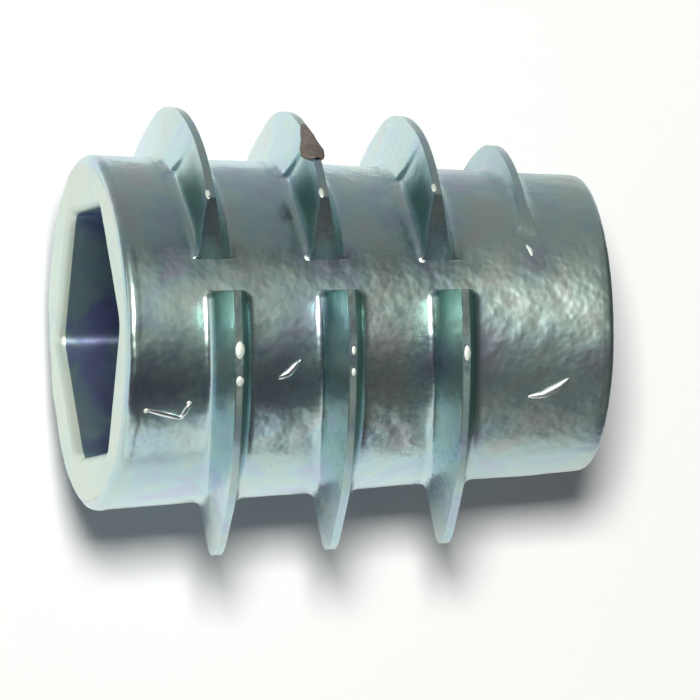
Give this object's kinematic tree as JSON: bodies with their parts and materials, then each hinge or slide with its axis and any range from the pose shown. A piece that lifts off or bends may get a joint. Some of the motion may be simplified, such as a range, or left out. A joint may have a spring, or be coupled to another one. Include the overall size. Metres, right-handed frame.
{
  "type": "threaded insert",
  "caption": "Flush threaded insert for wood: a tapered cast body with a coarse outer ridge thread, a hex drive socket and a through bore for a bolt thread.",
  "frame": {"origin": "centre of the leading end's flat face, on the axis", "axes": "+Z along the axis from the leading end to the drive face, so the socket opens upwards; +X is the side that is uppermost in the picture"},
  "size_m": [0.0116, 0.0116, 0.013],
  "materials": {
    "zinc": "cast, zinc plated, pale blue-green"
  },
  "bodies": {
    "root": {"insert_body": "zinc"}
  },
  "joints": []
}
